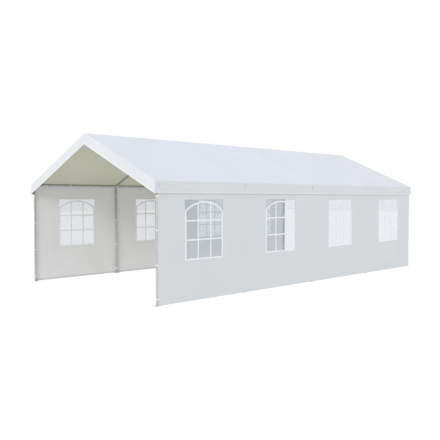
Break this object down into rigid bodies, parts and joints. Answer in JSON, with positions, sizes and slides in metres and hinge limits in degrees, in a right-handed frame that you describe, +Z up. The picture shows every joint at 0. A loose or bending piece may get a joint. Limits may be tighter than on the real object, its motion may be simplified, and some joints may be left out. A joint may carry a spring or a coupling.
{
  "type": "marquee tent",
  "caption": "White gable-roofed marquee tent on a steel tube frame, with windowed side walls and open ends, that shelters people and tables outdoors.",
  "frame": {"origin": "on the ground, at the middle of the footprint", "axes": "+Z up; +Y along the tent from the gable at frame 1 to the gable at frame 5; +X to the right of someone who walks in at frame 1"},
  "size_m": [4.1, 8.138, 2.8744],
  "materials": {
    "frame_steel": "light grey powder coat over steel tube, satin",
    "cover_sheet": "white coated woven plastic sheet, faintly wrinkled, low sheen",
    "wall_sheet": "white coated woven plastic sheet with welded hems",
    "window_film": "clear soft film, glossy, with white window bars"
  },
  "bodies": {
    "root": {"eave_rail_left_1": "frame_steel", "eave_rail_left_2": "frame_steel", "eave_rail_left_3": "frame_steel", "eave_rail_left_4": "frame_steel", "eave_rail_right_1": "frame_steel", "eave_rail_right_2": "frame_steel", "eave_rail_right_3": "frame_steel", "eave_rail_right_4": "frame_steel", "leg_left_1": "frame_steel", "leg_left_2": "frame_steel", "leg_left_3": "frame_steel", "leg_left_4": "frame_steel", "leg_left_5": "frame_steel", "leg_right_1": "frame_steel", "leg_right_2": "frame_steel", "leg_right_3": "frame_steel", "leg_right_4": "frame_steel", "leg_right_5": "frame_steel", "rafter_left_1": "frame_steel", "rafter_left_2": "frame_steel", "rafter_left_3": "frame_steel", "rafter_left_4": "frame_steel", "rafter_left_5": "frame_steel", "rafter_right_1": "frame_steel", "rafter_right_2": "frame_steel", "rafter_right_3": "frame_steel", "rafter_right_4": "frame_steel", "rafter_right_5": "frame_steel", "ridge_connector_1": "frame_steel", "ridge_connector_2": "frame_steel", "ridge_connector_3": "frame_steel", "ridge_connector_4": "frame_steel", "ridge_connector_5": "frame_steel", "ridge_pole": "frame_steel", "roof_cover": "cover_sheet", "side_wall_left": "wall_sheet", "side_wall_right": "wall_sheet", "valance_back": "cover_sheet", "valance_front": "cover_sheet", "valance_left": "cover_sheet", "valance_right": "cover_sheet", "window_left_1": "window_film", "window_left_2": "window_film", "window_left_3": "window_film", "window_left_4": "window_film", "window_right_1": "window_film", "window_right_2": "window_film", "window_right_3": "window_film", "window_right_4": "window_film"}
  },
  "joints": []
}
